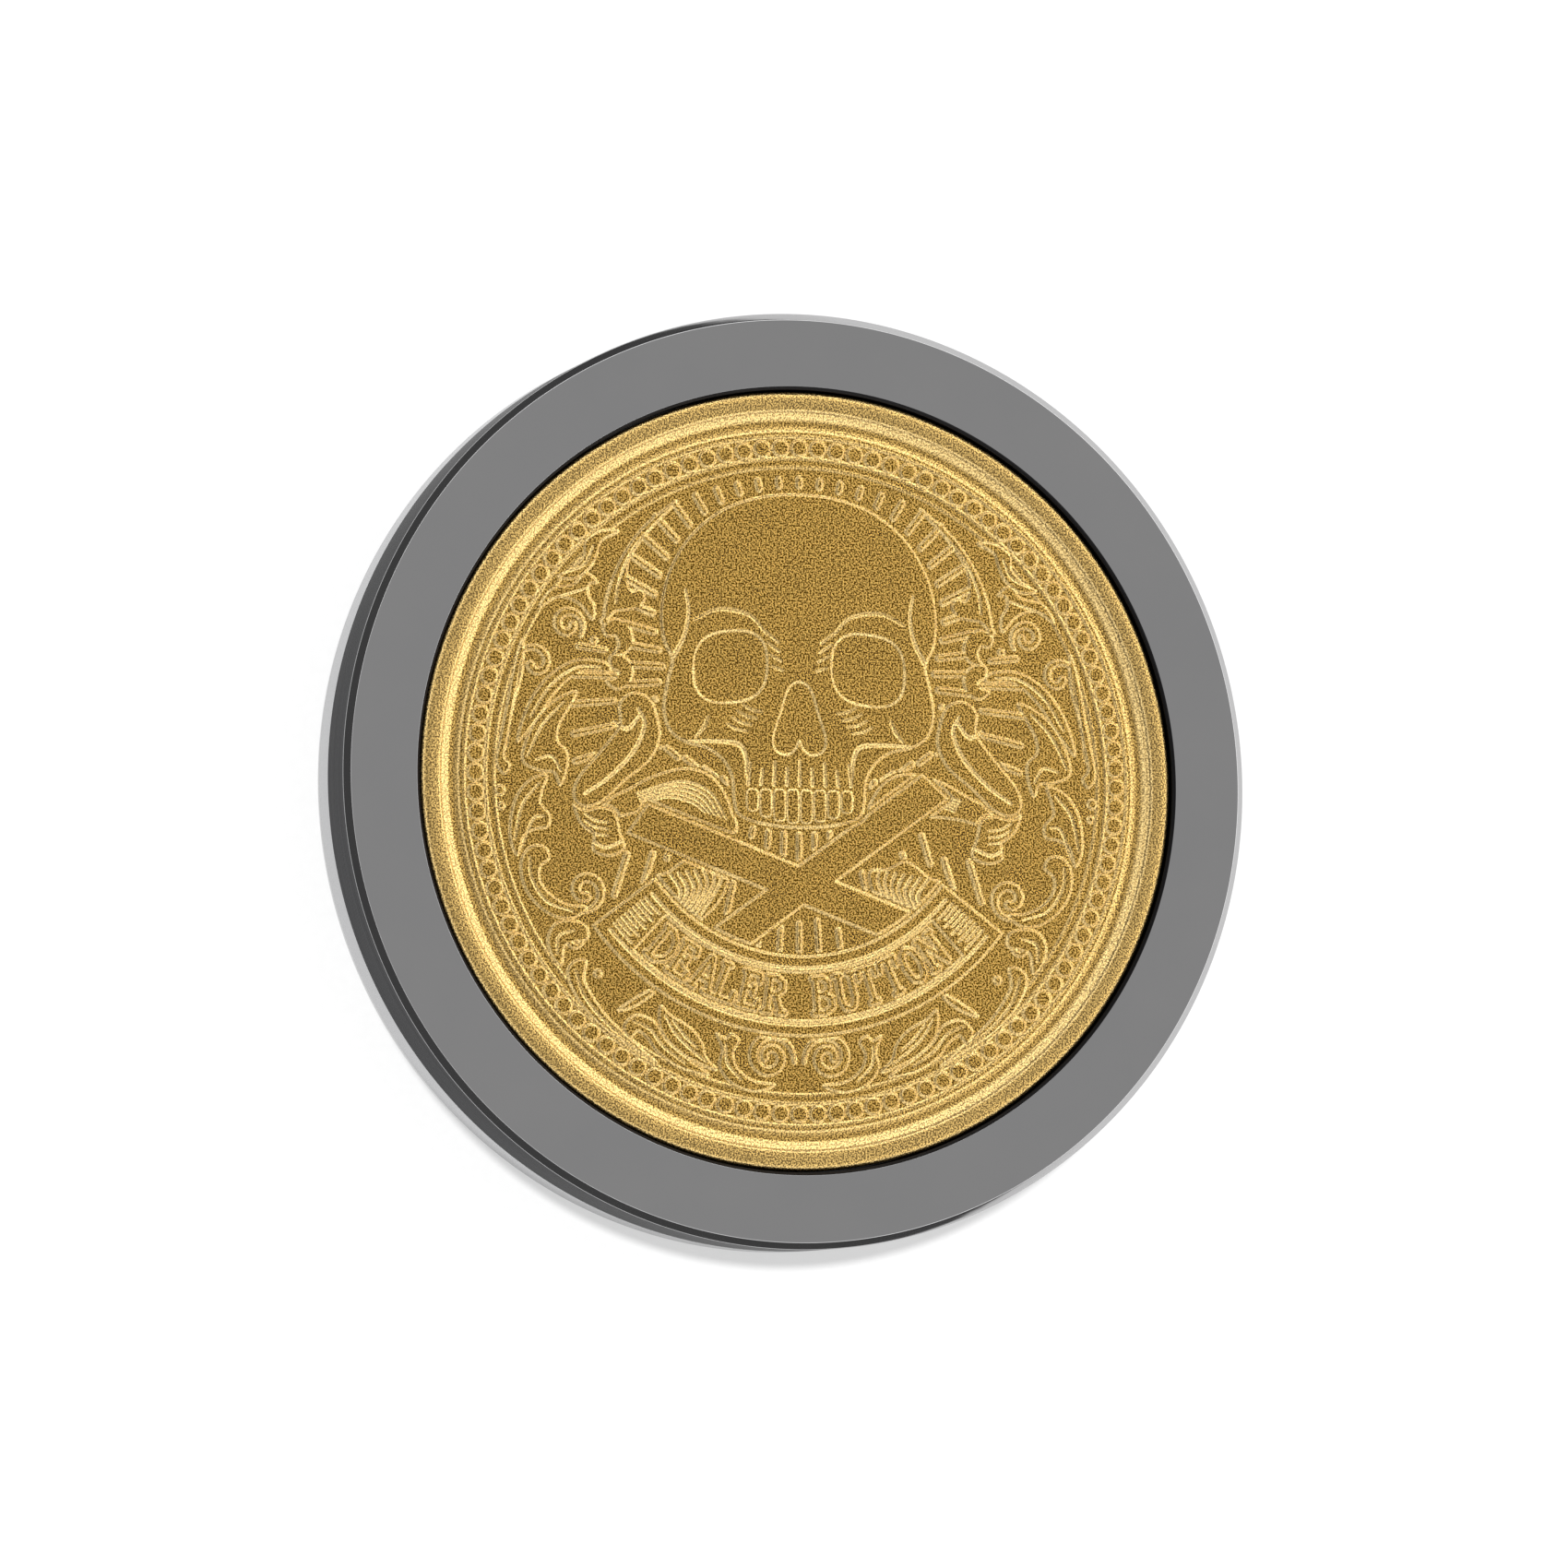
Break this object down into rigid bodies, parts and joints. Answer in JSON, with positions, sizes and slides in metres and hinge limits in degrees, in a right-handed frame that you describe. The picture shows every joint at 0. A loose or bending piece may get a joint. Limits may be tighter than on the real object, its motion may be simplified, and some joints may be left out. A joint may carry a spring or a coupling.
{
  "type": "dealer button",
  "caption": "Round metal dealer button: polished dark rings around a weight, with a gold relief medallion set in each face.",
  "frame": {"origin": "centre of the rear face, on the surface that the button lies on", "axes": "+Z along the disc's axis and out of the front face, +Y towards the top of the artwork, +X towards its right"},
  "size_m": [0.06, 0.06, 0.0074],
  "materials": {
    "front_ring_nickel": "polished nickel plating, darker satin on the side wall",
    "rear_ring_nickel": "polished nickel plating, pale satin on the side wall",
    "gold_medallion": "struck, sandblasted matt gold plating",
    "adhesive_film": "double-sided adhesive film",
    "bare_steel": "turned bare steel"
  },
  "bodies": {
    "root": {"front_ring": "front_ring_nickel", "rear_ring": "rear_ring_nickel", "front_medallion": "gold_medallion", "rear_medallion": "gold_medallion", "front_adhesive": "adhesive_film", "rear_adhesive": "adhesive_film", "steel_weight": "bare_steel"}
  },
  "joints": []
}
